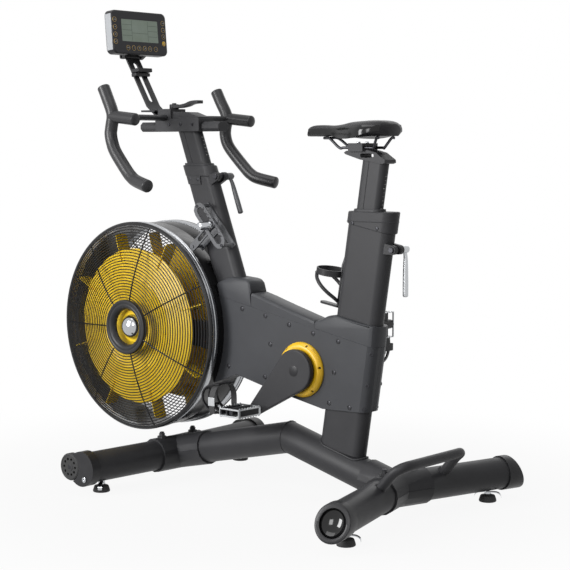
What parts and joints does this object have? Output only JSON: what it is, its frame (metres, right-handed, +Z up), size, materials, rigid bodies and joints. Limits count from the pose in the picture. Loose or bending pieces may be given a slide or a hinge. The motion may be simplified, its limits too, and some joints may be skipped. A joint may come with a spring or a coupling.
{
  "type": "air bike",
  "caption": "Upright fan-resistance exercise bike with a caged fan ahead, belt-driven cranks, sliding saddle and drop handlebar, tilting console and levelling feet.",
  "frame": {"origin": "middle of the footprint on the floor", "axes": "-X ahead of the rider, +Y to the right of the rider, +Z up"},
  "size_m": [1.2452, 0.7782, 1.2732],
  "materials": {
    "frame_paint": "satin",
    "cover_plastic": "fine texture",
    "black_plastic": "satin",
    "black_alloy": "satin black",
    "rubber": "matte",
    "foam": "matte foam",
    "yellow_metal": "gloss paint",
    "yellow_plastic": "satin",
    "bright_steel": "polished",
    "grey_steel": "satin",
    "wire_paint": "satin",
    "console_plastic": "satin",
    "vinyl": "satin"
  },
  "bodies": {
    "frame": {"spine_tube": "frame_paint", "front_base_tube": "frame_paint", "rear_base_tube": "frame_paint", "front_clamp_upper": "cover_plastic", "front_clamp_lower": "cover_plastic", "rear_clamp_upper": "cover_plastic", "rear_clamp_lower": "cover_plastic", "front_left_end_cap": "black_plastic", "front_right_end_cap": "black_plastic", "rear_left_end_cap": "black_plastic", "rear_right_end_cap": "black_plastic", "lift_handle": "frame_paint", "seat_tube": "frame_paint", "head_tube": "frame_paint", "main_beam": "frame_paint", "left_cover": "cover_plastic", "right_cover": "cover_plastic", "top_cover": "cover_plastic", "head_joint_cover": "cover_plastic", "seat_joint_cover": "cover_plastic", "left_crank_ring": "yellow_plastic", "right_crank_ring": "yellow_plastic", "bottle_cage": "black_plastic", "seat_tube_collar": "black_plastic", "head_tube_collar": "black_plastic", "fan_shroud": "black_plastic", "left_grille": "wire_paint", "right_grille": "wire_paint", "notch_plate": "grey_steel", "drive_belt": "rubber"},
    "fan": {"fan_axle": "bright_steel", "left_fan": "yellow_metal", "right_fan": "yellow_metal"},
    "crank": {"crank_spindle": "grey_steel", "left_crank": "frame_paint", "right_crank": "frame_paint"},
    "left_pedal_set": {"left_pedal": "grey_steel", "left_toe_cage": "black_plastic"},
    "right_pedal_set": {"right_pedal": "grey_steel", "right_toe_cage": "black_plastic"},
    "seat_mast": {"seat_post": "frame_paint", "seat_head": "black_alloy"},
    "saddle_set": {"saddle": "vinyl", "saddle_rails": "bright_steel"},
    "handlebar_mast": {"handlebar_post": "frame_paint"},
    "handlebar_carriage": {"slider_carriage": "frame_paint", "handlebar": "foam", "console_arm": "black_plastic"},
    "console": {"console_case": "console_plastic"},
    "slide_lock": {"slider_lock_lever": "black_plastic"},
    "seat_lock": {"seat_lock_lever": "bright_steel"},
    "head_lock": {"head_lock_lever": "grey_steel"},
    "left_wheel": {"front_left_wheel": "rubber"},
    "right_wheel": {"front_right_wheel": "rubber"},
    "foot_front_left": {"front_left_foot": "rubber"},
    "foot_front_right": {"front_right_foot": "rubber"},
    "foot_rear_left": {"rear_left_foot": "rubber"},
    "foot_rear_right": {"rear_right_foot": "rubber"},
    "knob": {"resistance_knob": "bright_steel"},
    "lever_arm": {"resistance_arm": "grey_steel"}
  },
  "joints": [
    {"name": "fan_spin", "type": "hinge", "parent": "frame", "child": "fan", "pos_m": [-0.33907, 0, 0.417], "axis": [0, 1, 0], "continuous": true},
    {"name": "crank_spin", "type": "hinge", "parent": "frame", "child": "crank", "pos_m": [0.21063, 0, 0.343], "axis": [0, 1, 0], "continuous": true},
    {"name": "left_pedal_spin", "type": "hinge", "parent": "crank", "child": "left_pedal_set", "pos_m": [0.08021, -0.1225, 0.23395], "axis": [0, 1, 0], "continuous": true},
    {"name": "right_pedal_spin", "type": "hinge", "parent": "crank", "child": "right_pedal_set", "pos_m": [0.34105, 0.1225, 0.45205], "axis": [0, 1, 0], "continuous": true},
    {"name": "seat_height", "type": "slide", "parent": "frame", "child": "seat_mast", "axis": [0.153, 0, 0.9882], "range_m": [-0.1, 0.09]},
    {"name": "saddle_fore_aft", "type": "slide", "parent": "seat_mast", "child": "saddle_set", "axis": [1, 0, 0], "range_m": [-0.014, 0.014]},
    {"name": "handlebar_height", "type": "slide", "parent": "frame", "child": "handlebar_mast", "axis": [-0.3535, 0, 0.9354], "range_m": [-0.055, 0.09]},
    {"name": "handlebar_fore_aft", "type": "slide", "parent": "handlebar_mast", "child": "handlebar_carriage", "axis": [1, 0, 0], "range_m": [-0.05, 0.05]},
    {"name": "console_tilt", "type": "hinge", "parent": "handlebar_carriage", "child": "console", "pos_m": [-0.43207, 0, 1.15], "axis": [0, 1, 0], "range_deg": [-30, 25]},
    {"name": "slide_lock_turn", "type": "hinge", "parent": "handlebar_carriage", "child": "slide_lock", "pos_m": [-0.26807, 0, 1.0053], "axis": [0, 0, 1], "range_deg": [0, 100]},
    {"name": "seat_lock_turn", "type": "hinge", "parent": "frame", "child": "seat_lock", "pos_m": [0.47893, 0, 0.65569], "axis": [0, 1, 0], "range_deg": [-110, 0]},
    {"name": "head_lock_turn", "type": "hinge", "parent": "frame", "child": "head_lock", "pos_m": [-0.09844, 0, 0.82519], "axis": [0, 1, 0], "range_deg": [-110, 0]},
    {"name": "left_wheel_spin", "type": "hinge", "parent": "frame", "child": "left_wheel", "pos_m": [-0.3262, -0.33, 0.069], "axis": [0, 1, 0], "continuous": true},
    {"name": "right_wheel_spin", "type": "hinge", "parent": "frame", "child": "right_wheel", "pos_m": [-0.3262, 0.33, 0.069], "axis": [0, 1, 0], "continuous": true},
    {"name": "front_left_foot_screw", "type": "slide", "parent": "frame", "child": "foot_front_left", "axis": [0, 0, 1], "range_m": [-0.012, 0]},
    {"name": "front_right_foot_screw", "type": "slide", "parent": "frame", "child": "foot_front_right", "axis": [0, 0, 1], "range_m": [-0.012, 0]},
    {"name": "rear_left_foot_screw", "type": "slide", "parent": "frame", "child": "foot_rear_left", "axis": [0, 0, 1], "range_m": [-0.012, 0]},
    {"name": "rear_right_foot_screw", "type": "slide", "parent": "frame", "child": "foot_rear_right", "axis": [0, 0, 1], "range_m": [-0.012, 0]},
    {"name": "resistance_slide", "type": "slide", "parent": "frame", "child": "knob", "axis": [0.6613, 0, -0.7501], "range_m": [-0.045, 0.045]},
    {"name": "resistance_swing", "type": "hinge", "parent": "frame", "child": "lever_arm", "pos_m": [-0.14358, -0.058, 0.64031], "axis": [0, 1, 0], "range_deg": [-32, 32]}
  ],
  "couplings": [
    {"joint": "crank_spin", "follows": "fan_spin", "ratio": 0.35955},
    {"joint": "resistance_swing", "follows": "resistance_slide", "rad_per_m": 10.8}
  ]
}
